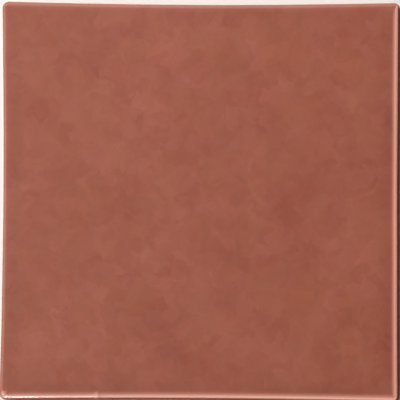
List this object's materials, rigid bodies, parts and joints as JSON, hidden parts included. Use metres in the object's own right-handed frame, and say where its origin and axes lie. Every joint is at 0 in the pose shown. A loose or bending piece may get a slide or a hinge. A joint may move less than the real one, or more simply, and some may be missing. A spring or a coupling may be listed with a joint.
{
  "type": "glazed ceramic tile",
  "caption": "Square glazed wall tile with a gently wavy terracotta-coloured face, rolled rim, bowed sides and a waffle back that beds into adhesive.",
  "frame": {"origin": "middle of the tile's outline, on the plane of its back", "axes": "+Z out of the glazed face, +X to the right and +Y away along the sides when the tile lies on its back"},
  "size_m": [0.1319, 0.1319, 0.0087],
  "materials": {
    "glazed_body": "glossy mottled terracotta glaze over the face and rim, bare matt biscuit on the lower sides and back"
  },
  "bodies": {
    "root": {"tile": "glazed_body"}
  },
  "joints": []
}
